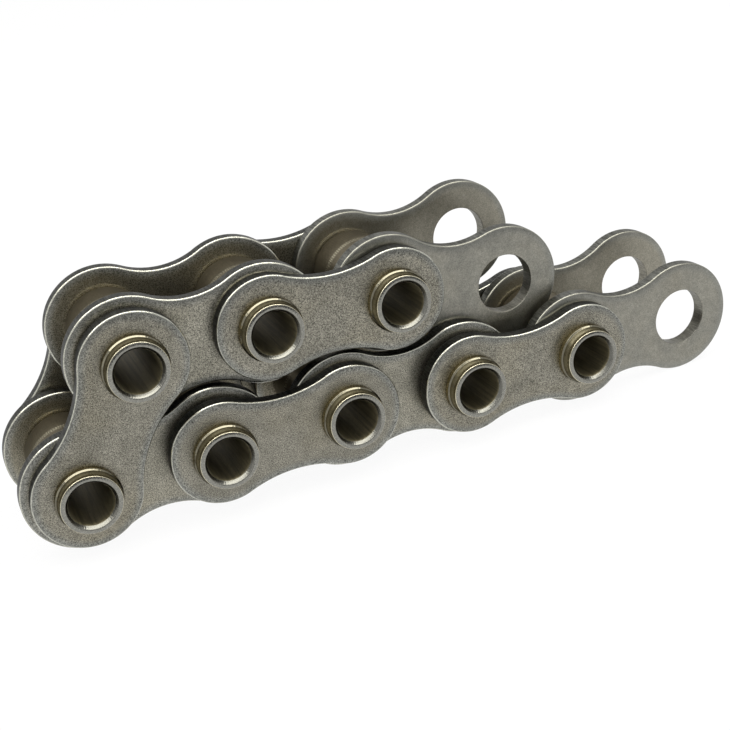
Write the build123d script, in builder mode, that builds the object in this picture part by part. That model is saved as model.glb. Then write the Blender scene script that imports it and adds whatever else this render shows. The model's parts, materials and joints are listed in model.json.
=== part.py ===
"""Short-pitch hollow-pin conveyor chain: nine links of stainless steel, folded back on themselves.

The lower run stands on the edges of its plates, a steep outer link turns the chain back, and the
upper run lies on the lower one. Millimetres and degrees. X runs along the lower run towards the
chain's open ends, Y along the pins from the front plates to the back ones, and Z up. The origin
is the bottom centre of the whole chain.

The pins are numbered along the chain, from the upper open end (1) round the fold (3 and 4) to the
lower open end (8). Inner links a to e and outer links 1 to 4 alternate along it.
"""

import os
from math import asin, atan2, cos, degrees, hypot, radians, sin

from build123d import *

os.makedirs("parts", exist_ok=True)

# Chain
pitch = 19.05
inner_width = 12.6  # clear width between the two plates of an inner link
side_play = 0.8  # sideways slack of an inner link between its outer plates

# Plates, stamped and tumbled
plate_thickness = 2.3
plate_round = 0.35  # rounding of the rim, on both faces
inner_lobe = 8.7  # radius of the round ends of an inner plate
inner_waist = 6.35  # half the height of its waist
outer_lobe = 7.55
outer_waist = 5.7
hole_break = 0.15  # broken edge of the open holes

# Hollow pins
pin_radius = 4.345
pin_bore = 3.05
pin_stand_out = 2.5  # length that shows beyond the outer plate
collar_radius = 4.6  # swelled ring that locks the outer plate on the pin
collar_length = 0.8
collar_round = 0.1
nose_radius = 4.2  # the pin is turned down a little beyond the collar
pin_end_chamfer = 0.12
mouth_radius = 3.55  # the bore flares to this at each end
mouth_depth = 0.7

# Rollers, loose on the pins between the inner plates
roller_radius = 5.955
roller_length = 12.4
roller_chamfer = 0.5
roller_mouth_chamfer = 0.25
running_clearance = 0.08  # radial, of plates and rollers on the pins

# Lie of the folded chain. Each lower pin stands this much above a pin whose plates touch the
# surface, from the fold outwards, and the last value is the front plate's open end.
lower_lift = {4: 0.0, 5: 0.8, 6: 0.8, 7: 0.25, 8: 0.05}
front_end_lift = 0.0
fold_rise = 59.3  # slope of outer link 2, which carries the chain from the lower run to the upper
slope_b = -0.5
slope_1 = -2.35
# The end plates hang on one pin each, so the front and the back one stand at their own slopes.
slope_a_front = -9.9
slope_a_back = 1.6
slope_e_back = 4.9

# Sideways place of each link, as shares of the side play: the links lean on one another, so the
# upper run is a little further back at its open end, and the lower run further forward.
sideways = {
    "a": 1.5, "1": 1.0, "b": 0.5, "2": 0.0, "c": -0.5, "3": -1.0, "d": -1.5, "4": -2.0, "e": -2.5,
}

# Worked out from the above
outer_width = inner_width + 2 * plate_thickness + side_play
pin_length = outer_width + 2 * plate_thickness + 2 * pin_stand_out
hole_radius = pin_radius + running_clearance


def walk(start, slope):
    """The point one pitch from start, in the XZ plane, at a slope in degrees."""
    return (start[0] + pitch * cos(radians(slope)), start[1] + pitch * sin(radians(slope)))


def slope_between(low_lift, high_lift):
    """Slope of a link whose two pins stand at these lifts."""
    return degrees(asin((high_lift - low_lift) / pitch))


def lay_out():
    """Pin centres and open-end hole centres as (x, z), before the origin is centred."""
    centre = {4: (0.0, inner_lobe)}
    for pin in (5, 6, 7, 8):
        centre[pin] = walk(centre[pin - 1], slope_between(lower_lift[pin - 1], lower_lift[pin]))
    centre["e_front"] = walk(centre[8], slope_between(lower_lift[8], front_end_lift))
    centre["e_back"] = walk(centre[8], slope_e_back)
    centre[3] = walk(centre[4], fold_rise)
    centre[2] = walk(centre[3], slope_b)
    centre[1] = walk(centre[2], slope_1)
    centre["a_front"] = walk(centre[1], slope_a_front)
    centre["a_back"] = walk(centre[1], slope_a_back)
    return centre


laid_out = lay_out()
x_middle = laid_out["e_front"][0] / 2
centres = {name: (x - x_middle, z) for name, (x, z) in laid_out.items()}
# The foremost pins belong to outer link 4 and the rearmost to outer link 1
y_middle = side_play * (sideways["4"] + sideways["1"]) / 2
link_y = {name: side_play * share - y_middle for name, share in sideways.items()}


def plate_outline(lobe, waist):
    """Draw a figure-eight: two lobes a pitch apart, joined by two hollow arcs tangent to both."""
    half_pitch = pitch / 2
    hollow = (half_pitch**2 + waist**2 - lobe**2) / (2 * (lobe - waist))
    rise = waist + hollow
    lean = atan2(rise, half_pitch)
    touch_x, touch_z = lobe * cos(lean), lobe * sin(lean)
    for side in (1, -1):
        ThreePointArc(
            (touch_x, side * touch_z), (half_pitch, side * waist), (pitch - touch_x, side * touch_z)
        )
    ThreePointArc((touch_x, touch_z), (-lobe, 0), (touch_x, -touch_z))
    ThreePointArc(
        (pitch - touch_x, touch_z), (pitch + lobe, 0), (pitch - touch_x, -touch_z)
    )


def make_plate(label, first, second, front_y, lobe, waist, hole, open_hole=False):
    """One link plate between two centres, its front face at front_y."""
    (x1, z1), (x2, z2) = centres[first], centres[second]
    along = ((x2 - x1) / pitch, 0, (z2 - z1) / pitch)
    face = Plane(origin=(x1, front_y, z1), x_dir=along, z_dir=(0, 1, 0))
    with BuildPart() as plate:
        with BuildSketch(face):
            with BuildLine():
                plate_outline(lobe, waist)
            make_face()
        extrude(amount=plate_thickness)
        rims = plate.faces().filter_by(Axis.Y).edges()
        fillet(rims, radius=plate_round)
        with BuildSketch(face):
            with Locations((0, 0), (pitch, 0)):
                Circle(hole)
        extrude(amount=plate_thickness, mode=Mode.SUBTRACT)
        if open_hole:
            far_mouths = (
                plate.edges()
                .filter_by(GeomType.CIRCLE)
                .filter_by(lambda edge: abs(edge.radius - hole) < 1e-6)
                .filter_by(lambda edge: hypot(edge.arc_center.X - x2, edge.arc_center.Z - z2) < 1)
            )
            chamfer(far_mouths, length=hole_break)
    plate.part.label = label
    export_step(plate.part, f"parts/{label}.step")


def make_turned(label, centre, middle_y, half_profile):
    """A turned piece: half of its (radius, distance) profile, mirrored and revolved about Y."""
    x, z = centre
    with BuildPart() as piece:
        with BuildSketch(Plane(origin=(x, middle_y, z), x_dir=(1, 0, 0), z_dir=(0, 0, 1))):
            with BuildLine():
                Polyline(half_profile)
                mirror(about=Plane.XZ)
            make_face()
        revolve(axis=Axis((x, middle_y, z), (0, 1, 0)))
    piece.part.label = label
    export_step(piece.part, f"parts/{label}.step")


def make_pin(number, link):
    """A hollow pin: a nose, a flared mouth and a collar against the plate at each end."""
    end = pin_length / 2
    plate_face = end - pin_stand_out
    shoulder = plate_face + collar_length
    profile = [
        (pin_radius, 0),
        (pin_radius, plate_face),
        (collar_radius - collar_round, plate_face),
        (collar_radius, plate_face + collar_round),
        (collar_radius, shoulder - collar_round),
        (nose_radius, shoulder + collar_round),
        (nose_radius, end - pin_end_chamfer),
        (nose_radius - pin_end_chamfer, end),
        (mouth_radius, end),
        (pin_bore, end - mouth_depth),
        (pin_bore, 0),
    ]
    make_turned(f"hollow_pin_{number}", centres[number], link_y[link], profile)


def make_roller(number, inner_link):
    """A roller that turns on its pin between two inner plates, with chamfered ends."""
    end = roller_length / 2
    profile = [
        (roller_radius, 0),
        (roller_radius, end - roller_chamfer),
        (roller_radius - roller_chamfer, end),
        (hole_radius + roller_mouth_chamfer, end),
        (hole_radius, end - roller_mouth_chamfer),
        (hole_radius, 0),
    ]
    make_turned(f"roller_{number}", centres[number], link_y[inner_link], profile)


# Outer links: two plates each, holding the ends of two pins
for link, (first, second) in {"1": (2, 1), "2": (4, 3), "3": (5, 6), "4": (7, 8)}.items():
    front = link_y[link] - outer_width / 2 - plate_thickness
    back = link_y[link] + outer_width / 2
    for side, face_y in (("front", front), ("back", back)):
        name = f"outer_plate_{link}_{side}"
        make_plate(name, first, second, face_y, outer_lobe, outer_waist, pin_radius)
    make_pin(first, link)
    make_pin(second, link)

# Inner links: two plates each, free on the pins. The open ends of links a and e hold no pin.
inner_ends = {
    "a": {"front": (1, "a_front"), "back": (1, "a_back")},
    "b": {"front": (3, 2), "back": (3, 2)},
    "c": {"front": (4, 5), "back": (4, 5)},
    "d": {"front": (6, 7), "back": (6, 7)},
    "e": {"front": (8, "e_front"), "back": (8, "e_back")},
}
for link, ends in inner_ends.items():
    front = link_y[link] - inner_width / 2 - plate_thickness
    back = link_y[link] + inner_width / 2
    for side, face_y in (("front", front), ("back", back)):
        first, second = ends[side]
        name = f"inner_plate_{link}_{side}"
        open_end = link in ("a", "e")
        make_plate(name, first, second, face_y, inner_lobe, inner_waist, hole_radius, open_end)

# Rollers, one on each pin, between the plates of the inner link that meets that pin
for number, inner_link in enumerate("abbccdde", start=1):
    make_roller(number, inner_link)
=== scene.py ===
"""Dress and light a folded length of hollow-pin conveyor chain.

The chain is nine links of stainless steel. Stamped and tumbled plates ride on hollow pins, and a
loose roller turns on each pin between the inner plates. Every plate, pin and roller is rebuilt
here as a fine surface with rounded rims, in the place that the frame gives it, and stands for the
plain solid of the same part.

The parts' sizes are in millimetres, and their meshes are written in metres.
"""

import json
import logging
import math
from dataclasses import dataclass, field
from enum import Enum

import bmesh
import bpy
import numpy as np
from mathutils import Matrix, Vector

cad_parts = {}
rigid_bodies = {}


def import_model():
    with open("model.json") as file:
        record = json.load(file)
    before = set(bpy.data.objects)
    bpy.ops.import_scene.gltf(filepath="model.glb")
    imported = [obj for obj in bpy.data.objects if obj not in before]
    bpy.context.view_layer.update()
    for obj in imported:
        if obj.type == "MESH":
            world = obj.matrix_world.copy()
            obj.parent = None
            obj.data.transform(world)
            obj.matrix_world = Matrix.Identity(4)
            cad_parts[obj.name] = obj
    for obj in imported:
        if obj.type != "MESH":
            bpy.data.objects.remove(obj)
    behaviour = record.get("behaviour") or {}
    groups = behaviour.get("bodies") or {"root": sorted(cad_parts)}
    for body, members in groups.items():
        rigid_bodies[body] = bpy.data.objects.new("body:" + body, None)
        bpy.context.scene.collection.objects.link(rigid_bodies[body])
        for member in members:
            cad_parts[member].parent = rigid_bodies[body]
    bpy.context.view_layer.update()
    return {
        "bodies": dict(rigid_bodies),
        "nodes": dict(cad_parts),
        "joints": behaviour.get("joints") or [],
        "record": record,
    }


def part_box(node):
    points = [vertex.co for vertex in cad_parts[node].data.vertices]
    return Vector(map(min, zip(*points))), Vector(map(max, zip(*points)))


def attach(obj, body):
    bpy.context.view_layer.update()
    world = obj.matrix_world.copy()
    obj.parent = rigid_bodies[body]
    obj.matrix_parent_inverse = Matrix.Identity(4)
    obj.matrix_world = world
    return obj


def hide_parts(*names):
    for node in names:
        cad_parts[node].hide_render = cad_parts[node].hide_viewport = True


LOG = logging.getLogger("chain")
MM = 0.001
MERGE = 2e-7  # points nearer than this, in metres, are one
Colour = tuple[float, float, float]
Point = tuple[float, float, float]
Socket = bpy.types.NodeSocket
WHITE: Colour = (1.0, 1.0, 1.0)


class Side(Enum):
    """Which of a link's two plates, seen with the chain's pins pointing away."""

    FRONT = "front"
    BACK = "back"


class Slot(Enum):
    """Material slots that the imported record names."""

    INNER_PLATE = "inner_plate"
    OUTER_PLATE = "outer_plate"
    HOLLOW_PIN = "hollow_pin"
    ROLLER = "roller"


# --------------------------------------------------------------------------- surfaces


@dataclass
class Surface:
    """A quad surface in millimetres with named values on its points.

    Attributes:
        points: Corner points, one row each.
        quads: Four point numbers for each face.
        marks: Values that materials read, by name, one for each point.
    """

    points: np.ndarray
    quads: np.ndarray
    marks: dict[str, np.ndarray] = field(default_factory=dict)

    def flipped(self) -> "Surface":
        """The same surface facing the other way."""
        return Surface(self.points, self.quads[:, ::-1], self.marks)


def grid_quads(rows: int, columns: int, closed: bool) -> np.ndarray:
    """Number the faces of a grid of points laid out row by row.

    Args:
        rows: Points along the first parameter.
        columns: Points along the second parameter.
        closed: Whether the last column joins the first.

    Returns:
        Four point numbers for each face.
    """
    row = np.arange(rows - 1)[:, None]
    column = np.arange(columns if closed else columns - 1)[None, :]
    beside = (column + 1) % columns
    a = row * columns + column
    b = row * columns + beside
    return np.stack([a, b, b + columns, a + columns], axis=-1).reshape(-1, 4)


def sweep(
    ring: np.ndarray, outward: np.ndarray, profile: np.ndarray, marks: dict[str, np.ndarray]
) -> Surface:
    """Carry a profile round a closed ring.

    The point at ring place s and profile place t is ring(s) - inset(t) * outward(s), at depth(t).

    Args:
        ring: Points of the ring in the plate's plane.
        outward: Unit directions that point out of the ring.
        profile: Inset and depth of each profile point.
        marks: Values to store on each profile point, by name.

    Returns:
        The swept surface, one row for each profile point.
    """
    inset, depth = profile[:, :1], profile[:, 1:]
    flat = ring[None, :, :] - inset[:, :, None] * outward[None, :, :]
    points = np.empty((len(profile), len(ring), 3))
    points[:, :, 0] = flat[:, :, 0]
    points[:, :, 1] = depth
    points[:, :, 2] = flat[:, :, 1]
    spread = {name: np.repeat(values, len(ring)) for name, values in marks.items()}
    return Surface(points.reshape(-1, 3), grid_quads(len(profile), len(ring), True), spread)


def rounded_corners(corners: np.ndarray, radii: np.ndarray, steps: int) -> np.ndarray:
    """Replace each corner of a closed path by an arc tangent to both of its sides.

    For a corner c with unit directions p and n towards its neighbours, the arc starts and ends
    r / tan(half the corner's angle) along them, and its centre lies on their bisector.

    Args:
        corners: Corner points of the closed path.
        radii: Radius of the arc at each corner.
        steps: Points on each arc.

    Returns:
        Points of the closed path.
    """
    before = np.roll(corners, 1, axis=0) - corners
    after = np.roll(corners, -1, axis=0) - corners
    before /= np.linalg.norm(before, axis=1, keepdims=True)
    after /= np.linalg.norm(after, axis=1, keepdims=True)
    half = np.arccos(np.clip((before * after).sum(1), -1, 1)) / 2
    reach = radii / np.tan(half)
    bisector = before + after
    bisector /= np.linalg.norm(bisector, axis=1, keepdims=True)
    centre = corners + bisector * (radii / np.sin(half))[:, None]
    start = corners + before * reach[:, None] - centre
    end = corners + after * reach[:, None] - centre
    turn = math.pi - 2 * half
    share = np.linspace(0, 1, steps)[None, :, None]
    angle = turn[:, None, None]
    swing = np.sin((1 - share) * angle) * start[:, None, :]
    swing = swing + np.sin(share * angle) * end[:, None, :]
    return (centre[:, None, :] + swing / np.sin(angle)).reshape(-1, 2)


def lathe(profile: np.ndarray, segments: int) -> Surface:
    """Turn a closed profile about the Y axis.

    The point at turn angle a and profile place t is (r(t) cos a, y(t), r(t) sin a).

    Args:
        profile: Radius and distance along the axis of each point, as a closed path that runs
            outside, far end, bore, near end.
        segments: Points round the axis.

    Returns:
        The turned surface. Its points store the length along the profile, the radius, how nearly
        the profile runs square to the axis there, from 0 on the sides to 1 on the ends, the turn
        angle from one side, the same both ways round, and the distance along the axis.
    """
    closed = np.vstack([profile, profile[:1]])
    length = np.r_[0, np.cumsum(np.linalg.norm(np.diff(closed, axis=0), axis=1))][:-1]
    course = np.roll(profile, -1, axis=0) - np.roll(profile, 1, axis=0)
    flat = np.abs(course[:, :1]) / np.linalg.norm(course, axis=1, keepdims=True)
    angle = np.linspace(0, 2 * math.pi, segments, endpoint=False)
    radius, along = profile[:, :1], profile[:, 1:]
    spread = np.ones((1, segments))
    points = np.stack([radius * np.cos(angle), along * spread, radius * np.sin(angle)], axis=-1)
    quads = grid_quads(len(profile) + 1, segments, True) % (len(profile) * segments)
    marks = {
        "lathe": (length[:, None] * spread).ravel(),
        "radius": (radius * spread).ravel(),
        "flat": (flat * spread).ravel(),
        "turn": (np.ones_like(radius) * np.abs(angle - math.pi)).ravel(),
        "along": (along * spread).ravel(),
    }
    return Surface(points.reshape(-1, 3), quads, marks)


def make_piece(
    name: str, surfaces: list[Surface], place: Matrix, material: bpy.types.Material
) -> bpy.types.Object:
    """Join surfaces into one closed mesh, with its place in the mesh.

    Args:
        name: Name of the piece.
        surfaces: Surfaces in millimetres, in the piece's own frame.
        place: Where that frame lies, with its offset in millimetres.
        material: Finish of the piece.

    Returns:
        The new object, at the origin.
    """
    starts = np.cumsum([0] + [len(s.points) for s in surfaces])[:-1]
    points = np.vstack([s.points for s in surfaces])
    quads = np.vstack([s.quads + start for s, start in zip(surfaces, starts)])
    turn = np.array(place.to_3x3())
    points = (points @ turn.T + np.array(place.translation)) * MM
    mesh = bpy.data.meshes.new(name)
    mesh.from_pydata(points, [], quads.tolist())
    for mark in surfaces[0].marks:
        values = np.concatenate([s.marks[mark] for s in surfaces]).astype(np.float32)
        layer = mesh.attributes.new(mark, "FLOAT", "POINT")
        layer.data.foreach_set("value", values)
    shell = bmesh.new()
    shell.from_mesh(mesh)
    bmesh.ops.remove_doubles(shell, verts=shell.verts, dist=MERGE)
    bmesh.ops.recalc_face_normals(shell, faces=shell.faces)
    shell.to_mesh(mesh)
    shell.free()
    mesh.polygons.foreach_set("use_smooth", np.ones(len(mesh.polygons), bool))
    mesh.update()
    return add_object(name, mesh, material)


def add_object(name: str, mesh: bpy.types.Mesh, material: bpy.types.Material) -> bpy.types.Object:
    """Put a mesh into the scene.

    Args:
        name: Name of the object.
        mesh: Its mesh.
        material: Its finish.

    Returns:
        The new object, at the origin.
    """
    mesh.materials.append(material)
    added = bpy.data.objects.new(name, mesh)
    bpy.context.scene.collection.objects.link(added)
    return added


def add_sheet(name: str, corners: list[Point], material: bpy.types.Material) -> bpy.types.Object:
    """Put one flat sheet of the studio into the scene.

    Args:
        name: Name of the sheet.
        corners: Its four corners in order, in metres.
        material: Its finish.

    Returns:
        The new object.
    """
    mesh = bpy.data.meshes.new(name)
    mesh.from_pydata(corners, [], [(0, 1, 2, 3)])
    return add_object(name, mesh, material)


# --------------------------------------------------------------------------- finishes


@dataclass(frozen=True)
class Layer:
    """A layer of noise over a surface, and what it is mapped onto.

    Attributes:
        scale: Scale of the noise.
        detail: Finer octaves on top of it.
        rough: Strength of those octaves.
        values: Noise values between which it is mapped.
        onto: What those two values become.
    """

    scale: float
    detail: float = 2.0
    rough: float = 0.5
    values: tuple[float, float] = (0.3, 0.7)
    onto: tuple[float, float] = (0.0, 1.0)


class Graph:
    """Adds shader nodes to one material and links them."""

    def __init__(self, name: str) -> None:
        """Start an empty node material.

        Args:
            name: Name of the material.
        """
        self.material = bpy.data.materials.new(name)
        self.material.use_nodes = True
        self.tree = self.material.node_tree
        self.tree.nodes.clear()

    def add(self, kind: str, **settings: object) -> bpy.types.Node:
        """Add a node.

        Args:
            kind: Blender's name for this kind of node.
            settings: Properties to set on it.

        Returns:
            The new node.
        """
        node = self.tree.nodes.new(kind)
        for key, value in settings.items():
            setattr(node, key, value)
        return node

    def join(self, source: object, target: Socket) -> None:
        """Link a socket to the target, or set a plain value on it.

        Args:
            source: Socket or value.
            target: Input that takes it.
        """
        if isinstance(source, bpy.types.NodeSocket):
            self.tree.links.new(source, target)
        else:
            target.default_value = source

    def mark(self, name: str) -> Socket:
        """The value stored on the mesh under name."""
        return self.add("ShaderNodeAttribute", attribute_name=name).outputs["Fac"]

    def place(self, scale: Point = (1.0, 1.0, 1.0)) -> Socket:
        """Read Object coordinates in millimetres.

        Args:
            scale: Factor for each axis.

        Returns:
            The scaled coordinates.
        """
        node = self.add("ShaderNodeMapping")
        self.join(self.add("ShaderNodeTexCoord").outputs["Object"], node.inputs["Vector"])
        node.inputs["Scale"].default_value = tuple(s / MM for s in scale)
        return node.outputs["Vector"]

    def noise(self, over: Socket, layer: Layer, dimensions: str = "3D") -> Socket:
        """Add the noise of a layer.

        Args:
            over: Coordinates, or the one value that a 1D noise runs along.
            layer: The layer.
            dimensions: 3D, or 1D for rings that are the same all round a turned piece.

        Returns:
            Values from about 0.3 to 0.7.
        """
        node = self.add("ShaderNodeTexNoise", noise_dimensions=dimensions)
        self.join(over, node.inputs["W" if dimensions == "1D" else "Vector"])
        node.inputs["Scale"].default_value = layer.scale
        node.inputs["Detail"].default_value = layer.detail
        node.inputs["Roughness"].default_value = layer.rough
        return node.outputs["Fac"]

    def math(self, operation: str, first: object, second: object, clamp: bool = False) -> Socket:
        """Add one arithmetic step.

        Args:
            operation: Blender's name for the step.
            first: First value.
            second: Second value.
            clamp: Whether to hold the result between 0 and 1.

        Returns:
            The result.
        """
        node = self.add("ShaderNodeMath", operation=operation, use_clamp=clamp)
        self.join(first, node.inputs[0])
        self.join(second, node.inputs[1])
        return node.outputs[0]

    def span(
        self, value: Socket, low: float, high: float, out_low: float = 0.0, out_high: float = 1.0
    ) -> Socket:
        """Map a range smoothly onto another and hold its ends.

        Args:
            value: Value to map.
            low: Start of the range.
            high: End of the range.
            out_low: Result at the start and below it.
            out_high: Result at the end and above it.

        Returns:
            The mapped value.
        """
        node = self.add("ShaderNodeMapRange", interpolation_type="SMOOTHSTEP")
        self.join(value, node.inputs["Value"])
        keys = ("From Min", "From Max", "To Min", "To Max")
        for key, number in zip(keys, (low, high, out_low, out_high)):
            node.inputs[key].default_value = number
        return node.outputs["Result"]

    def blend(self, share: object, first: object, second: object, mode: str = "MIX") -> Socket:
        """Mix two colours.

        Args:
            share: Share of the second colour.
            first: First colour.
            second: Second colour.
            mode: Blender's name for the way to mix them.

        Returns:
            The mixed colour.
        """
        node = self.add("ShaderNodeMix", data_type="RGBA", blend_type=mode)
        self.join(share, node.inputs["Factor"])
        for key, colour in (("A", first), ("B", second)):
            socket = next(s for s in node.inputs if s.name == key and s.type == "RGBA")
            self.join((*colour, 1.0) if isinstance(colour, tuple) else colour, socket)
        return next(s for s in node.outputs if s.type == "RGBA")

    def shade(self, colour: object, value: object, share: object = 1.0) -> Socket:
        """Multiply a colour by a value.

        Args:
            colour: The colour.
            value: The factor.
            share: How far the factor counts.

        Returns:
            The shaded colour.
        """
        grey = self.add("ShaderNodeCombineColor")
        for socket in grey.inputs:
            self.join(value, socket)
        return self.blend(share, colour, grey.outputs["Color"], "MULTIPLY")

    def mapped(self, noise: Socket, layer: Layer) -> Socket:
        """A layer's noise, mapped as the layer says."""
        return self.span(noise, *layer.values, *layer.onto)

    def bump(self, height: Socket, depth: float, under: Socket | None = None) -> Socket:
        """Add relief.

        Args:
            height: Height, from 0 to 1.
            depth: Its full height in millimetres.
            under: Relief that it lies on.

        Returns:
            The bent normal.
        """
        node = self.add("ShaderNodeBump")
        self.join(height, node.inputs["Height"])
        node.inputs["Distance"].default_value = depth * MM
        if under is not None:
            self.join(under, node.inputs["Normal"])
        return node.outputs["Normal"]

    def finish(self, shader: bpy.types.Node) -> bpy.types.Material:
        """Make a shader node the material's surface, and return the material."""
        self.join(shader.outputs[0], self.add("ShaderNodeOutputMaterial").inputs["Surface"])
        return self.material

    def metal(self, **sockets: object) -> bpy.types.Material:
        """Close the graph with the principled shader.

        Args:
            sockets: What its sockets take, with underscores for the spaces in their names.

        Returns:
            The finished material.
        """
        shader = self.add("ShaderNodeBsdfPrincipled")
        for name, value in sockets.items():
            self.join(value, shader.inputs[name.replace("_", " ")])
        return self.finish(shader)


@dataclass(frozen=True)
class StampedSteel:
    """Stamped stainless plate, tumbled to a satin grain.

    Attributes:
        name: Name of the material.
        light: Colour of the open faces.
        dull: Colour of the duller patches.
        straw: Tint of some patches, and the painted bounce light's tint on the faces turned to the
            rollers.
        painted_roll_colour: Darker, cooler colour of the roll along the rim: painted shade and cool
            painted reflection.
        roughness: Middle roughness of the faces.
        cut_shade: Brightness of the cut edge against the faces: part its own dullness, part painted
            shade.
        cut_glance: Brightness of the cut edge at a glancing angle: part its own dullness, part
            painted shade.
        inward_painted_light: Brightness of the faces turned to the rollers: painted bounce light
            between the plates.
        inward_painted_tint: Share of the straw tint on them, as painted bounce light.
        rim_wear_and_sheen: Brightness of the rim's tight arc against the faces, part wear and part
            painted highlight.
        rim_wear_and_sheen_tint: Warm tint of that arc, laid on by half, also part wear and part
            painted highlight.
        rubbed_calm: How much weaker the grain is there.
        polish: How much smoother it is.
        grain: Strength of the grain.
        grain_depth: Height of the grain, in millimetres.
        stripe_depth: Height of the marks across the cut edge, in millimetres.
        roll: Distances from the rim between which the painted colour of the roll fades out.
        roll_share: Share of that colour at the rim.
        patches: Patches of the dull colour.
        warmth: Patches of the straw tint.
        clouds: Soft changes of brightness.
        pits: Small dark pits.
        stripes: Marks across the cut edge.
    """

    name: str
    light: Colour
    dull: Colour
    straw: Colour
    painted_roll_colour: Colour
    roughness: float = 0.38
    cut_shade: float = 0.3
    cut_glance: float = 0.6
    inward_painted_light: float = 1.05
    inward_painted_tint: float = 0.55
    rim_wear_and_sheen: float = 2.0
    rim_wear_and_sheen_tint: Colour = (1.0, 0.97, 0.88)
    rubbed_calm: float = 0.6
    polish: float = 0.18
    grain: float = 1.0
    grain_depth: float = 0.012
    stripe_depth: float = 0.035
    roll: tuple[float, float] = (0.2, 1.5)
    roll_share: float = 0.8
    patches: Layer = Layer(0.22, 3.0, 0.6, (0.35, 0.65))
    warmth: Layer = Layer(0.1, values=(0.45, 0.75), onto=(0.0, 0.5))
    clouds: Layer = Layer(0.9, 3.0, 0.6, onto=(0.92, 1.07))
    pits: Layer = Layer(4.0, 1.0, 0.4, (0.20, 0.27), (0.45, 1.0))
    stripes: Layer = Layer(4.5, 3.0, 0.6, onto=(0.55, 1.5))

    @property
    def tumbled(self) -> Layer:
        """The fine grain, as strong as this finish has it."""
        swing = 0.95 * self.grain
        return Layer(6.5, 3.0, 0.8, (0.25, 0.75), (1.0 - swing, 1.0 + swing))

    def make(self) -> bpy.types.Material:
        """Build the material: patches, grain, pits, a polished rim with painted highlight and a
        striped cut edge.

        Returns:
            The finished material.
        """
        g = Graph(self.name)
        even = g.place()
        patches = g.noise(even, self.patches)
        grain = g.noise(even, self.tumbled)
        stripes = g.noise(g.place((1.0, 0.1, 1.0)), self.stripes)
        rim, band, tight, inward = (g.mark(name) for name in ("rim", "band", "tight", "inward"))

        base = g.blend(g.mapped(patches, self.patches), self.dull, self.light)
        warmth = g.mapped(g.noise(even, self.warmth), self.warmth)
        # The faces turned to the rollers take the straw tint as painted bounce light.
        warmth = g.math("MAXIMUM", warmth, g.math("MULTIPLY", inward, self.inward_painted_tint))
        base = g.blend(warmth, base, self.straw)
        # Painted shade and cool reflection on the roll along the rim.
        base = g.blend(g.span(rim, *self.roll, self.roll_share, 0.0), base, self.painted_roll_colour)
        base = g.shade(base, g.mapped(g.noise(even, self.clouds), self.clouds))
        grainy = g.math("SUBTRACT", 1.0, g.math("MULTIPLY", tight, self.rubbed_calm))
        base = g.shade(base, g.mapped(grain, self.tumbled), grainy)
        base = g.shade(base, g.mapped(g.noise(even, self.pits), self.pits))
        base = g.shade(base, g.mapped(stripes, self.stripes), band)
        # The cut edge is darkened: part its own dullness, part painted shade.
        # The faces turned to the rollers are brightened as painted bounce light.
        # The rim's tight arc is brightened: part wear, part painted highlight.
        for brightness, where in (
            (self.cut_shade, band), (self.inward_painted_light, inward), (self.rim_wear_and_sheen, tight)
        ):
            base = g.shade(base, brightness, where)
        # Warm tint on the rim's tight arc: part wear, part painted highlight.
        base = g.blend(g.math("MULTIPLY", tight, 0.5), base, self.rim_wear_and_sheen_tint, "MULTIPLY")

        rough = g.math("ADD", self.roughness, g.span(patches, 0.3, 0.7, 0.03, -0.03))
        rough = g.math("SUBTRACT", rough, g.math("MULTIPLY", tight, self.polish))
        relief = g.bump(grain, self.grain_depth * self.grain)
        relief = g.bump(g.math("MULTIPLY", stripes, band), self.stripe_depth, relief)
        # Dimmer glancing reflection on the cut edge: part its own dullness, part painted shade.
        glance = g.blend(band, WHITE, (self.cut_glance,) * 3)
        return g.metal(
            Base_Color=base, Roughness=rough, Normal=relief, Metallic=1.0, Specular_Tint=glance
        )


@dataclass(frozen=True)
class HighlightBand:
    """A painted highlight band round a roller, standing for the back plate's rim reflected in it.

    Attributes:
        place: Middle of the band along the axis, from the middle of the roller.
        inner: Half the width that is painted fully.
        outer: Half the width that is painted at all.
        tick_shade: Share of the highlight left between its cross ticks.
        patch_shade: Share of the highlight left in its weakest patches.
    """

    place: float
    inner: float
    outer: float
    tick_shade: float = 0.25
    patch_shade: float = 0.4


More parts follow.
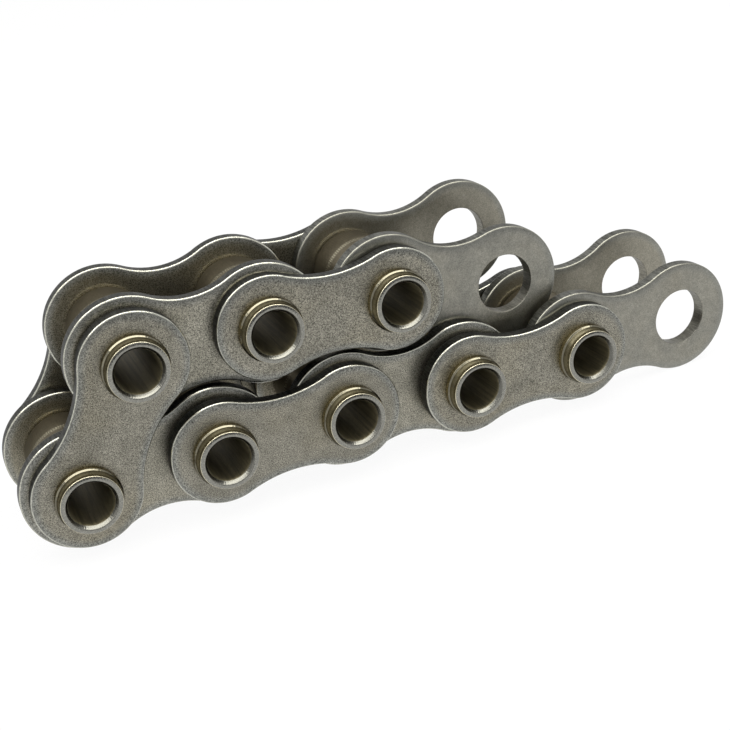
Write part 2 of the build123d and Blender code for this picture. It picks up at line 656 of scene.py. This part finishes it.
@dataclass(frozen=True)
class TurnedSteel:
    """Turned stainless steel with the tool's rings round it, and painted warm reflection on its
    round sides.

    Attributes:
        name: Name of the material.
        face: Colour of the flat ends.
        side: Colour of the round sides' ridges.
        hollow: Colour of the round sides' hollows.
        inside: Colour of the bore.
        wear_and_sheen: Brighter colour of the outer edges: part wear, part painted highlight.
        wear_and_sheen_from: Radius outside which edges take that colour.
        ring_scale: Rings in a millimetre, roughly.
        ring_depth: Height of the rings, in millimetres.
        facets: Lengthwise marks round the piece, left by straightening.
        facet_depth: Height of those marks, in millimetres.
        roughness: Middle roughness.
        bore: Radius inside which the bore's long streaks show.
        nose_shade: Brightness of those edges less than 0.25 mm outside wear_and_sheen_from, raised
            as painted highlight.
        slope_shade: Brightness of those edges more than 0.4 mm outside wear_and_sheen_from, lowered
            as painted shade.
        collar_shade: Brightness of round sides more than 0.58 mm outside wear_and_sheen_from:
            painted light on the collar.
        mouth_shade: Brightness of the ends' inner part and of the flare.
        glance: Brightness of the round sides at a glancing angle, lowered as painted shade.
        bore_rough: How much rougher the bore is.
        bore_dull: Share of the bore that a dull film covers.
        film: Share of the round sides that it covers.
        highlight_band: Painted highlight band, if there is one.
        streaks: Long streaks in the bore.
        streak_depth: Height of the streaks, in millimetres.
        patches: Patches of the ridges' colour.
        grain: Fine grain.
        wobble: Unevenness of the lengthwise marks.
    """

    name: str
    face: Colour
    side: Colour
    hollow: Colour
    inside: Colour
    wear_and_sheen: Colour
    wear_and_sheen_from: float
    ring_scale: float
    ring_depth: float
    facets: float
    facet_depth: float
    roughness: float
    bore: float
    nose_shade: float = 1.45
    slope_shade: float = 0.36
    collar_shade: float = 1.5
    mouth_shade: float = 0.6
    glance: float = 0.5
    bore_rough: float = 0.25
    bore_dull: float = 0.35
    film: float = 0.0
    highlight_band: HighlightBand | None = None
    streaks: Layer = Layer(1.0, 3.0, 0.65, (0.35, 0.65), (0.75, 1.25))
    streak_depth: float = 0.012
    patches: Layer = Layer(0.4, 3.0, 0.6, onto=(-0.25, 0.3))
    grain: Layer = Layer(4.0, 2.0, 0.7, (0.28, 0.72), (0.84, 1.16))
    wobble: Layer = Layer(2.0)

    def make(self) -> bpy.types.Material:
        """Build the material: rings, wandering tint, pale ends, painted reflection on the sides and
        streaks along the bore.

        Returns:
            The finished material.
        """
        g = Graph(self.name)
        even = g.place()
        streaks = g.noise(g.place((2.2, 0.06, 2.2)), self.streaks)
        patches = g.noise(even, self.patches)
        grain = g.noise(even, self.grain)
        turned = Layer(self.ring_scale, 1.0, values=(0.35, 0.65), onto=(0.2, 0.7))
        rings = g.noise(g.mark("lathe"), turned, "1D")
        ticks = g.math("SINE", g.math("MULTIPLY", g.mark("turn"), self.facets), 0.0)
        radius, flat, start = g.mark("radius"), g.mark("flat"), self.wear_and_sheen_from

        bore = g.span(radius, self.bore, self.bore + 0.12, 1.0, 0.0)
        outer = g.span(radius, start, start + 0.1)
        sides = g.math("MULTIPLY", g.span(flat, 0.3, 0.9, 1.0, 0.0), outer)
        edge = g.math("MULTIPLY", g.span(flat, 0.1, 0.35), g.span(flat, 0.8, 0.95, 1.0, 0.0))
        edge = g.math("MULTIPLY", edge, outer)
        # A painted highlight band round the roller, standing for a reflection.
        if self.highlight_band:
            painted_sheen = self.highlight_share(g, ticks, patches)
            edge = g.math("MAXIMUM", edge, g.math("MULTIPLY", painted_sheen, outer))

        share = g.math("ADD", g.mapped(rings, turned), g.mapped(patches, self.patches), True)
        # The round sides' brown and olive colours are painted warm reflection.
        base = g.blend(share, self.hollow, self.side)
        # Painted light: the collar's round side beside the plate is brightened.
        base = g.shade(base, g.span(radius, start + 0.5, start + 0.58, 1.0, self.collar_shade))
        mouth = g.span(radius, self.bore + 0.3, self.bore + 0.5, self.mouth_shade, 1.0)
        base = g.blend(sides, g.shade(self.face, mouth), base)
        # Brighter outer edges: part wear, part painted highlight, stronger on the nose and weaker
        # on the slope.
        wear_and_sheen = g.span(radius, start + 0.25, start + 0.4, self.nose_shade, self.slope_shade)
        base = g.blend(edge, base, g.shade(self.wear_and_sheen, wear_and_sheen))
        base = g.blend(bore, base, g.shade(self.inside, g.mapped(streaks, self.streaks)))
        base = g.shade(base, g.mapped(grain, self.grain))

        film = g.math("MULTIPLY", g.math("SUBTRACT", sides, edge, True), self.film)
        dull = g.math("MAXIMUM", g.math("MULTIPLY", bore, self.bore_dull), film)
        rough = g.math("ADD", self.roughness, g.span(grain, 0.3, 0.7, -0.04, 0.05))
        rough = g.math("ADD", rough, g.math("MULTIPLY", bore, self.bore_rough))
        rough = g.math("SUBTRACT", rough, g.math("MULTIPLY", edge, self.roughness / 3))
        ticks = g.math("ADD", ticks, g.noise(g.place((1.0, 0.15, 1.0)), self.wobble))
        relief = g.bump(rings, self.ring_depth)
        relief = g.bump(ticks, self.facet_depth, relief)
        relief = g.bump(g.math("MULTIPLY", streaks, bore), self.streak_depth, relief)
        metallic = g.math("SUBTRACT", 1.0, dull)
        # Dimmer glancing reflection on the round sides: painted shade.
        glance = g.blend(sides, WHITE, (self.glance,) * 3)
        return g.metal(
            Base_Color=base, Roughness=rough, Normal=relief, Metallic=metallic, Specular_Tint=glance
        )

    def highlight_share(self, g: Graph, ticks: Socket, patches: Socket) -> Socket:
        """Find how far the painted highlight band covers the roller.

        Args:
            g: The material's graph.
            ticks: The lengthwise marks, from -1 to 1.
            patches: Wide noise.

        Returns:
            A share, uneven round the roller and broken up by cross ticks.
        """
        highlight_band = self.highlight_band
        off = g.math("ABSOLUTE", g.math("SUBTRACT", g.mark("along"), highlight_band.place), 0.0)
        painted_sheen = g.span(off, highlight_band.inner, highlight_band.outer, 1.0, 0.0)
        painted_sheen = g.math("MULTIPLY", painted_sheen, g.span(patches, 0.3, 0.6, highlight_band.patch_shade, 1.0))
        return g.math("MULTIPLY", painted_sheen, g.span(ticks, -0.5, 0.5, highlight_band.tick_shade, 1.0))


# --------------------------------------------------------------------------- parts


@dataclass(frozen=True)
class PlateShape:
    """Sizes of one kind of link plate, in millimetres.

    Attributes:
        lobe: Radius of the round ends.
        waist: Half the height of the waist.
        hole: Radius of the two holes.
        pitch: Distance between the holes.
        thickness: Thickness of the plate.
        rim_round: Radius of the tight rounding of the rim.
        roll_width: Width of the soft roll that leads to it, left by the stamping.
        roll_depth: Depth of that roll at the rim.
        hole_round: Rounding of the holes' edges.
        lobe_steps: Points round a lobe.
        waist_steps: Points along a side of the waist.
        cut_steps: Faces across the middle of the waist.
        roll_steps: Points across the roll.
        arc_steps: Points across the tight rounding.
        hole_steps: Points across the rounding of a hole's edge.
        shares: Where the face's rings lie between its hole and the roll.
        tight_lean: Leans of the rim, in radians, between which the brighter arc fades in.
        cut_lean: Leans between which that arc fades into the cut edge.
        hole_band: How far a hole's wall looks like the cut edge.
    """

    lobe: float
    waist: float
    hole: float
    pitch: float = 19.05
    thickness: float = 2.3
    rim_round: float = 0.3
    roll_width: float = 1.5
    roll_depth: float = 0.17
    hole_round: float = 0.1
    lobe_steps: int = 110
    waist_steps: int = 26
    cut_steps: int = 12
    roll_steps: int = 11
    arc_steps: int = 9
    hole_steps: int = 5
    shares: tuple[float, ...] = (0, 0.02, 0.05, 0.1, 0.18, 0.3, 0.45, 0.62, 0.8, 0.93, 1.0)
    tight_lean: tuple[float, float] = (0.3, 0.5)
    cut_lean: tuple[float, float] = (1.1, 1.5)
    hole_band: float = 0.6

    @property
    def hollow(self) -> float:
        """Radius of the waist's hollow arcs, which touch both lobes."""
        half = self.pitch / 2
        return (half**2 + self.waist**2 - self.lobe**2) / (2 * (self.lobe - self.waist))

    def half_outline(self) -> tuple[np.ndarray, np.ndarray]:
        """Trace the outline round the first lobe, from the top of the waist to its foot.

        The waist's arcs have centres (pitch / 2, +-(waist + hollow)); the lobe's centre is the
        origin. A point of an arc is its centre plus its radius times a unit direction.

        Returns:
            The points and the outward unit directions.
        """
        rise = self.waist + self.hollow
        lean = math.atan2(rise, self.pitch / 2)
        turn = np.linspace(lean, 2 * math.pi - lean, self.lobe_steps)
        lobe_out = np.stack([np.cos(turn), np.sin(turn)], axis=1)
        lean_back = np.linspace(0, math.pi / 2 - lean, self.waist_steps, endpoint=False)
        top_out = np.stack([np.sin(lean_back), np.cos(lean_back)], axis=1)
        top = np.array([self.pitch / 2, rise]) - self.hollow * top_out
        foot_out, foot = (top_out * [1, -1])[::-1], (top * [1, -1])[::-1]
        points = np.vstack([top, self.lobe * lobe_out, foot])
        return points, np.vstack([top_out, lobe_out, foot_out])

    def rim_profile(self, side: Side) -> tuple[np.ndarray, dict[str, np.ndarray]]:
        """Shape the rim from the front face, over the cut edge, to the back face.

        The roll is depth = roll_depth * (1 - inset / roll_width) ** 2. A tight arc carries on
        from its slope until it stands square to the face.

        Args:
            side: Which plate of its link it is.

        Returns:
            Inset and depth of each point, and what to store there: the distance from the rim, the
            share of the cut edge and of the tight arc, and whether the roll is turned inward.
        """
        r, w, d = self.rim_round, self.roll_width, self.roll_depth
        tilt = 0.0
        for _ in range(8):
            start = r * (1 - math.sin(tilt))
            tilt = math.atan(2 * d * (1 - start / w) / w)
        inset = np.linspace(w, start, self.roll_steps)
        depth = d * (1 - inset / w) ** 2
        lean = np.linspace(tilt, math.pi / 2, self.arc_steps + 1)[1:]
        centre = depth[-1] + r * math.cos(tilt)
        arc = np.stack([r * (1 - np.sin(lean)), centre - r * np.cos(lean)], axis=1)
        front = np.vstack([np.stack([inset, depth], axis=1), arc])
        wall = np.array([[0.0, self.thickness * k] for k in (0.35, 0.5, 0.65)])
        back = front[::-1] * [1, -1] + [0, self.thickness]
        angle = np.r_[np.zeros(len(inset)), lean]
        cut = np.interp(angle, self.cut_lean, (0, 1))
        tight = np.interp(angle, self.tight_lean, (0, 1)) * (1 - cut)
        inward = np.r_[np.ones(len(inset)), np.linspace(1, 0, len(lean))]
        first, last = (inward * 0, inward[::-1]) if side is Side.FRONT else (inward, inward * 0)
        none = np.zeros(len(wall))
        marks = {
            "rim": np.r_[front[:, 0], none, front[::-1, 0]],
            "band": np.r_[cut, none + 1, cut[::-1]],
            "tight": np.r_[tight, none, tight[::-1]],
            "inward": np.r_[first, none, last],
        }
        return np.vstack([front, wall, back]), marks

    def border(self) -> np.ndarray:
        """Trace the border of one half's flat face: the start of the roll, and the waist's middle.

        Returns:
            Points of the closed border, from the top of the waist round the lobe and back.
        """
        outline, outward = self.half_outline()
        half_width = self.waist - self.roll_width
        level = np.linspace(-half_width, half_width, self.cut_steps + 1)[1:-1]
        cut = np.stack([np.full_like(level, self.pitch / 2), level], axis=1)
        return np.vstack([outline - self.roll_width * outward, cut])

    def face(self, depth: float, inward: bool) -> Surface:
        """Fill the face of one half, from its hole to the start of the roll.

        The point at place s of the border and share t is hole edge + t * (border(s) - hole edge),
        with the hole edge on the line from the hole's centre to the border.

        Args:
            depth: Depth of the face.
            inward: Whether it is turned to the rollers.

        Returns:
            The half face, with the distance to the rim on its points.
        """
        border = self.border()
        away = np.linalg.norm(border, axis=1, keepdims=True)
        edge = self.hole + self.hole_round
        share = np.array(self.shares)[:, None, None]
        flat = (border / away)[None] * (edge + share * (away[None] - edge))
        points = np.stack([flat[:, :, 0], np.full(flat.shape[:2], depth), flat[:, :, 1]], axis=-1)
        distance = self.rim_distance(flat.reshape(-1, 2))
        none = np.zeros_like(distance)
        marks = {"rim": distance, "band": none, "tight": none, "inward": none + float(inward)}
        return Surface(points.reshape(-1, 3), grid_quads(len(share), len(border), True), marks)

    def rim_distance(self, flat: np.ndarray) -> np.ndarray:
        """Distance from points of the first half to the outline.

        Args:
            flat: Points in the plate's plane, from the first hole's centre.

        Returns:
            The lobe's radius less the distance to its centre, or, towards the waist, the distance
            to the nearer hollow arc.
        """
        rise = self.waist + self.hollow
        lean = math.atan2(rise, self.pitch / 2)
        to_arc = np.hypot(flat[:, 0] - self.pitch / 2, np.abs(flat[:, 1]) - rise) - self.hollow
        to_lobe = self.lobe - np.hypot(flat[:, 0], flat[:, 1])
        turn = np.abs(np.arctan2(flat[:, 1], flat[:, 0]))
        return np.where(turn < lean, to_arc, to_lobe)

    def bore(self) -> Surface:
        """Line one hole, with its rounded edges.

        The point at turn angle a and profile place t is (r(t) cos a, depth(t), r(t) sin a).

        Returns:
            The hole's wall, on the same directions as the face's border.
        """
        border = self.border()
        unit = border / np.linalg.norm(border, axis=1, keepdims=True)
        lean = np.linspace(0, math.pi / 2, self.hole_steps)
        rounding = self.hole_round * (1 - np.stack([np.sin(lean), np.cos(lean)], axis=1))
        front = rounding + [self.hole, 0]
        wall = np.array([[self.hole, self.thickness * k] for k in (0.3, 0.5, 0.7)])
        back = front[::-1] * [1, -1] + [0, self.thickness]
        profile = np.vstack([front, wall, back])
        reach, depth = profile[:, :1], profile[:, 1:]
        spread = np.ones((1, len(border)))
        points = np.stack([reach * unit[:, 0], depth * spread, reach * unit[:, 1]], axis=-1)
        rise = np.linspace(0, 1, self.hole_steps)
        band = np.r_[rise, np.ones(len(wall)), rise[::-1]] * self.hole_band
        none = np.zeros(len(profile) * len(border))
        marks = {
            "rim": none + 2 * self.roll_width,
            "band": (band[:, None] * spread).ravel(),
            "tight": none,
            "inward": none,
        }
        return Surface(points.reshape(-1, 3), grid_quads(len(profile), len(border), True), marks)

    def surfaces(self, side: Side) -> list[Surface]:
        """Make all surfaces of the plate, from the first hole's centre on its front face.

        The second lobe's outline is the first one's, turned half round the middle of the waist.

        Args:
            side: Which plate of its link it is, so which of its faces the rollers rub.

        Returns:
            The rim, and for each half its two faces and the wall of its hole.
        """
        points, outward = self.half_outline()
        ring = np.vstack([points, (np.array([self.pitch, 0.0]) - points)[1:-1]])
        out = np.vstack([outward, -outward[1:-1]])
        profile, marks = self.rim_profile(side)
        near = self.face(0.0, side is Side.BACK)
        far = self.face(self.thickness, side is Side.FRONT).flipped()
        half = [near, far, self.bore()]
        return [sweep(ring, out, profile, marks), *half, *(self._turned(s) for s in half)]

    def _turned(self, surface: Surface) -> Surface:
        """The other half: the surface turned half round the middle of the waist."""
        points = surface.points * [-1, 1, -1] + [self.pitch, 0, 0]
        return Surface(points, surface.quads, surface.marks)


def turn_both_ends(
    half: np.ndarray, roundings: tuple[float, ...], steps: int, segments: int
) -> Surface:
    """Turn a piece whose two ends are alike.

    The path is half its profile and that half's mirror image about the middle, with every corner
    rounded by an arc, and it is turned about the Y axis.

    Args:
        half: Radius and distance from the middle of each corner, round one end.
        roundings: Radius at each of these corners.
        steps: Points on each rounding.
        segments: Points round the axis.

    Returns:
        The turned surface.
    """
    corners = np.vstack([half, half[::-1] * [1, -1]])
    return lathe(rounded_corners(corners, np.r_[roundings, roundings[::-1]], steps), segments)


@dataclass(frozen=True)
class PinShape:
    """Sizes of a hollow pin, in millimetres.

    Attributes:
        radius: Radius of the pin in its plates.
        bore: Radius of its bore.
        length: Length of the pin.
        stand_out: Length beyond the outer plate.
        collar: Radius of the swelled ring that locks the outer plate.
        collar_length: Length of that ring's straight side.
        neck: Radius at the foot of the ring's slope.
        slope: Length of that slope.
        nose: Radius of the end.
        land: Radius inside which the end is flat; outside it falls away a little.
        fall: How far it falls at the rim.
        mouth: Radius to which the bore flares.
        mouth_depth: Depth of the flare.
        nose_length: Length of the straight end.
        roundings: Radius at each corner of half the profile, from the plate to the bore.
        round_steps: Points on each of them.
        segments: Points round the axis.
    """

    radius: float = 4.345
    bore: float = 3.05
    length: float = 27.6
    stand_out: float = 2.5
    collar: float = 4.6
    collar_length: float = 0.78
    neck: float = 4.40
    slope: float = 0.24
    nose: float = 4.2
    land: float = 3.82
    fall: float = 0.1
    mouth: float = 3.55
    mouth_depth: float = 0.7
    nose_length: float = 0.6
    roundings: tuple[float, ...] = (0.04, 0.06, 0.14, 0.12, 1.5, 0.13, 0.5, 0.22, 0.8)
    round_steps: int = 7
    segments: int = 144

    def surface(self) -> Surface:
        """Turn the pin: its sides, a collar and a nose at each end, and its flared bore.

        Returns:
            The pin's surface, about its own middle.
        """
        end = self.length / 2
        plate = end - self.stand_out
        shoulder = plate + self.collar_length
        half = np.array(
            [
                (self.radius, plate),
                (self.collar, plate),
                (self.collar, shoulder),
                (self.neck, shoulder + self.slope),
                (self.nose, end - self.nose_length),
                (self.nose, end - self.fall),
                (self.land, end),
                (self.mouth, end),
                (self.bore, end - self.mouth_depth),
            ]
        )
        return turn_both_ends(half, self.roundings, self.round_steps, self.segments)


@dataclass(frozen=True)
class RollerShape:
    """Sizes of a roller, in millimetres.

    Attributes:
        radius: Radius of the barrel.
        hole: Radius of the hole.
        length: Length of the roller.
        chamfer: Chamfer of the barrel's ends.
        mouth_chamfer: Chamfer of the hole's ends.
        roundings: Radius at each corner of half the profile, from the barrel to the hole.
        round_steps: Points on each of them.
        segments: Points round the axis.
    """

    radius: float = 5.955
    hole: float = 4.425
    length: float = 12.4
    chamfer: float = 0.5
    mouth_chamfer: float = 0.25
    roundings: tuple[float, ...] = (0.2, 0.15, 0.08, 0.08)
    round_steps: int = 6
    segments: int = 144

    def surface(self) -> Surface:
        """Turn the roller: a plain barrel with chamfered ends and a plain hole.

        Returns:
            The roller's surface, about its own middle.
        """
        end = self.length / 2
        half = np.array(
            [
                (self.radius, end - self.chamfer),
                (self.radius - self.chamfer, end),
                (self.hole + self.mouth_chamfer, end),
                (self.hole, end - self.mouth_chamfer),
            ]
        )
        return turn_both_ends(half, self.roundings, self.round_steps, self.segments)


@dataclass
class Chain:
    """The whole chain: its plates, pins and rollers, in the places the frame gives.

    Attributes:
        frame: What the frame loader returned.
        inner: Sizes of the inner plates.
        outer: Sizes of the outer plates.
        pin: Sizes of the pins.
        roller: Sizes of the rollers.
        link_pins: Numbers of the pins that each link holds, the one at its first hole first.
    """

    frame: dict
    inner: PlateShape = PlateShape(lobe=8.7, waist=6.35, hole=4.425)
    outer: PlateShape = PlateShape(lobe=7.55, waist=5.7, hole=4.345, hole_round=0.08)
    pin: PinShape = PinShape()
    roller: RollerShape = RollerShape()
    link_pins: dict[str, tuple[int, ...]] = field(
        default_factory=lambda: {
            "a": (1,), "1": (2, 1), "b": (3, 2), "2": (4, 3), "c": (4, 5), "3": (5, 6),
            "d": (6, 7), "4": (7, 8), "e": (8,),
        }
    )

    def centre(self, node: str) -> Vector:
        """Middle of a solid's box, in millimetres."""
        low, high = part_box(node)
        return (Vector(low) + Vector(high)) / 2 / MM

    def hole_ends(self, link: str, side: Side) -> tuple[Vector, Vector]:
        """Find the centres of a plate's two holes.

        Args:
            link: Letter or number of the link.
            side: Which of its plates.

        Returns:
            The two centres, in millimetres. An empty hole's comes from the frame's mount there.
        """
        ends = [self.centre(f"hollow_pin_{number}") for number in self.link_pins[link]]
        if len(ends) == 1:
            mounts = {m["name"]: m["pos_m"] for m in self.frame["record"]["mounts"]}
            ends.append(Vector(mounts[f"end_hole_{link}_{side.value}"]) / MM)
        return ends[0], ends[1]

    def make_plates(
        self, shape: PlateShape, links: str, slot: Slot, finish: bpy.types.Material
    ) -> None:
        """Make both plates of each link.

        Args:
            shape: Sizes of the plates.
            links: Letters or numbers of the links.
            slot: The record's slot.
            finish: Their material.
        """
        for side in Side:
            surfaces = shape.surfaces(side)
            for link in links:
                node = f"{slot.value}_{link}_{side.value}"
                first, second = self.hole_ends(link, side)
                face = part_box(node)[0][1] / MM
                along = Vector((second.x - first.x, 0, second.z - first.z)).normalized()
                place = Matrix(
                    (
                        (along.x, 0, -along.z, first.x),
                        (0, 1, 0, face),
                        (along.z, 0, along.x, first.z),
                        (0, 0, 0, 1),
                    )
                )
                piece = make_piece(f"stamped_plate_{link}_{side.value}", surfaces, place, finish)
                self.seat(piece, node)

    def make_turned(
        self, surface: Surface, prefix: str, slot: Slot, finish: bpy.types.Material
    ) -> None:
        """Make the pieces of one turned kind, one for each pin.

        Args:
            surface: The turned surface.
            prefix: Start of the pieces' names.
            slot: The record's slot.
            finish: Their material.
        """
        pins = {number for pair in self.link_pins.values() for number in pair}
        for number in sorted(pins):
            node = f"{slot.value}_{number}"
            place = Matrix.Translation(self.centre(node))
            piece = make_piece(f"{prefix}_{number}", [surface], place, finish)
            self.seat(piece, node)

    def seat(self, piece: bpy.types.Object, node: str) -> None:
        """Let a piece stand for its solid and ride on the same body.

        Args:
            piece: The new piece.
            node: The solid it stands for.
        """
        bodies = self.frame["record"]["behaviour"]["bodies"]
        body = next(name for name, nodes in bodies.items() if node in nodes)
        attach(piece, body)
        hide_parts(node)
        faces = len(piece.data.polygons)
        LOG.info("%s stands for %s on %s, %d faces", piece.name, node, body, faces)

    def build(self) -> None:
        """Make and dress every piece."""
        inner = StampedSteel(
            "inner_plate_steel",
            light=(0.290, 0.278, 0.232), dull=(0.250, 0.240, 0.198),
            straw=(0.262, 0.240, 0.178), painted_roll_colour=(0.225, 0.230, 0.215),
        )
        outer = StampedSteel(
            "outer_plate_steel",
            light=(0.250, 0.239, 0.200), dull=(0.214, 0.205, 0.171),
            straw=(0.245, 0.224, 0.166), painted_roll_colour=(0.212, 0.218, 0.204),
        )
        ends = StampedSteel(
            "end_plate_steel",
            light=(0.272, 0.264, 0.227), dull=(0.243, 0.239, 0.209),
            straw=(0.280, 0.260, 0.207), painted_roll_colour=(0.255, 0.257, 0.234),
            cut_shade=0.55, rim_wear_and_sheen=0.9, grain=0.35, polish=0.04,
        )
        pins = TurnedSteel(
            "pin_steel",
            face=(0.245, 0.242, 0.216), side=(0.310, 0.273, 0.175), hollow=(0.250, 0.207, 0.102),
            inside=(0.165, 0.144, 0.086), wear_and_sheen=(0.420, 0.390, 0.290), wear_and_sheen_from=4.0,
            ring_scale=9.0, ring_depth=0.003, facets=60.0, facet_depth=0.003,
            roughness=0.23, bore=3.1,
        )
        # The rollers carry a painted highlight band round the barrel.
        rollers = TurnedSteel(
            "roller_steel",
            face=(0.130, 0.110, 0.070), side=(0.175, 0.152, 0.106), hollow=(0.125, 0.108, 0.074),
            inside=(0.100, 0.090, 0.070), wear_and_sheen=(0.400, 0.370, 0.280), wear_and_sheen_from=5.85,
            ring_scale=4.0, ring_depth=0.001, facets=100.0, facet_depth=0.004,
            roughness=0.32, bore=4.45, film=0.15, highlight_band=HighlightBand(place=0.9, inner=0.1, outer=0.7),
        )
        self.make_plates(self.inner, "bcd", Slot.INNER_PLATE, inner.make())
        self.make_plates(self.inner, "ae", Slot.INNER_PLATE, ends.make())
        self.make_plates(self.outer, "1234", Slot.OUTER_PLATE, outer.make())
        self.make_turned(self.pin.surface(), "turned_pin", Slot.HOLLOW_PIN, pins.make())
        self.make_turned(self.roller.surface(), "turned_roller", Slot.ROLLER, rollers.make())


# --------------------------------------------------------------------------- studio


@dataclass(frozen=True)
class Lamp:
    """One soft rectangular lamp.

    Attributes:
        name: Name of the lamp.
        place: Where it hangs, in metres.
        aim: The point it faces, in metres.
        size: Width and height, in metres.
        power: Power in watts.
        colour: Colour of its light.
    """

    name: str
    place: Point
    aim: Point
    size: tuple[float, float]
    power: float
    colour: Colour

    def hang(self) -> None:
        """Add the lamp to the scene."""
        light = bpy.data.lights.new(self.name, "AREA")
        light.shape = "RECTANGLE"
        light.size, light.size_y = self.size
        light.energy = self.power
        light.color = self.colour
        lamp = bpy.data.objects.new(self.name, light)
        lamp.location = self.place
        beam = Vector(self.aim) - Vector(self.place)
        lamp.rotation_euler = beam.to_track_quat("-Z", "Y").to_euler()
        bpy.context.scene.collection.objects.link(lamp)


@dataclass(frozen=True)
class Studio:
    """White surroundings, a floor that keeps a shadow, soft lamps, a dark card and the camera.

    Attributes:
        azimuth: Camera's turn round the chain, from straight in front, in degrees.
        elevation: Camera's height above the level, in degrees.
        roll: Camera's tilt about its line of sight, in degrees.
        target: Point at the middle of the view, in millimetres.
        distance: From the camera to that point, in millimetres.
        lens: Focal length, in millimetres.
        sensor: Width of the sensor, in millimetres.
        clip: Nearest and furthest distance seen, in metres.
        floor_reach: Half the width of the floor, in metres.
        floor_clear: Share of the floor that the eye and the metal see through.
        paper: Colour of its paper, which keeps the shadow.
        card: Left and right end of the dark card, and how far forward it stands, in metres.
        card_height: Its height, in metres.
        felt: Its colour.
        lamps: The lamps.
    """

    azimuth: float = -20.099
    elevation: float = 23.486
    roll: float = -7.809
    target: Point = (-7.19, -13.4, 17.34)
    distance: float = 168.95
    lens: float = 59.95
    sensor: float = 36.0
    clip: tuple[float, float] = (0.005, 20.0)
    floor_reach: float = 6.0
    floor_clear: float = 0.94
    paper: Colour = (0.88, 0.88, 0.88)
    card: tuple[float, float, float] = (-0.7, 0.9, -0.34)
    card_height: float = 0.10
    felt: Colour = (0.02, 0.02, 0.02)
    lamps: tuple[Lamp, ...] = (
        Lamp(
            "strip_above", place=(-0.08, -0.08, 0.60), aim=(-0.08, -0.08, 0.0), size=(1.2, 0.19),
            power=4.8, colour=(1.0, 0.98, 0.92),
        ),
        Lamp(
            "strip_left", place=(-0.60, -0.04, 0.16), aim=(0.0, 0.0, 0.02), size=(0.10, 0.24),
            power=0.05, colour=(1.0, 0.97, 0.92),
        ),
    )

    def set_camera(self) -> None:
        """Place the camera from its angles, its target and its distance."""
        turn, rise, tilt = map(math.radians, (self.azimuth, self.elevation, self.roll))
        flat = math.cos(rise)
        look = Vector((-math.sin(turn) * flat, math.cos(turn) * flat, -math.sin(rise)))
        level = look.cross(Vector((0, 0, 1))).normalized()
        upright = level.cross(look)
        right = math.cos(tilt) * level + math.sin(tilt) * upright
        up = math.cos(tilt) * upright - math.sin(tilt) * level
        camera = bpy.data.cameras.new("camera")
        camera.lens = self.lens
        camera.sensor_width = self.sensor
        camera.clip_start, camera.clip_end = self.clip
        viewer = bpy.data.objects.new("camera", camera)
        place = (Vector(self.target) - self.distance * look) * MM
        turned = Matrix((right, up, -look)).transposed().to_4x4()
        viewer.matrix_world = Matrix.Translation(place) @ turned
        bpy.context.scene.collection.objects.link(viewer)
        bpy.context.scene.camera = viewer

    def lay_floor(self) -> None:
        """Lay a wide floor that keeps a soft shadow and hides no link that swings below it.

        The eye and the metal see the white surroundings through it, shaded a little by its paper.
        """
        g = Graph("floor_paper")
        seen = g.add("ShaderNodeLightPath").outputs
        clear = g.math("MAXIMUM", seen["Is Camera Ray"], seen["Is Glossy Ray"])
        clear = g.math("MAXIMUM", clear, seen["Is Transmission Ray"])
        paper = g.add("ShaderNodeBsdfDiffuse")
        g.join((*self.paper, 1.0), paper.inputs["Color"])
        mix = g.add("ShaderNodeMixShader")
        g.join(g.math("MULTIPLY", clear, self.floor_clear), mix.inputs[0])
        g.join(paper.outputs[0], mix.inputs[1])
        g.join(g.add("ShaderNodeBsdfTransparent").outputs[0], mix.inputs[2])
        edge = self.floor_reach
        corners = [(-edge, -edge, 0), (edge, -edge, 0), (edge, edge, 0), (-edge, edge, 0)]
        floor = add_sheet("floor", corners, g.finish(mix))

    def stand_card(self) -> None:
        """Stand a low dark card along the front, which gives the steel its darker rolls."""
        g = Graph("card_felt")
        felt = g.add("ShaderNodeBsdfDiffuse")
        g.join((*self.felt, 1.0), felt.inputs["Color"])
        left, right, front = self.card
        foot = [(left, front, 0), (right, front, 0)]
        top = [(right, front, self.card_height), (left, front, self.card_height)]
        card = add_sheet("dark_card", foot + top, g.finish(felt))
        card.visible_camera = False

    def surround(self) -> None:
        """Make everything round the chain white."""
        world = bpy.data.worlds.new("surroundings")
        world.use_nodes = True
        tree = world.node_tree
        tree.nodes.clear()
        background = tree.nodes.new("ShaderNodeBackground")
        background.inputs["Color"].default_value = (*WHITE, 1.0)
        background.inputs["Strength"].default_value = 1.0
        out = tree.nodes.new("ShaderNodeOutputWorld")
        tree.links.new(background.outputs[0], out.inputs["Surface"])
        bpy.context.scene.world = world

    def build(self) -> None:
        """Set up the whole studio."""
        self.surround()
        self.lay_floor()
        self.stand_card()
        for lamp in self.lamps:
            lamp.hang()
        self.set_camera()
        bpy.context.scene.view_settings.view_transform = "Standard"


def main() -> None:
    """Load the frame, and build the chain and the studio."""
    logging.basicConfig(level=logging.INFO, format="%(message)s")
    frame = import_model()
    Chain(frame).build()
    Studio().build()


if __name__ == "__main__":
    main()
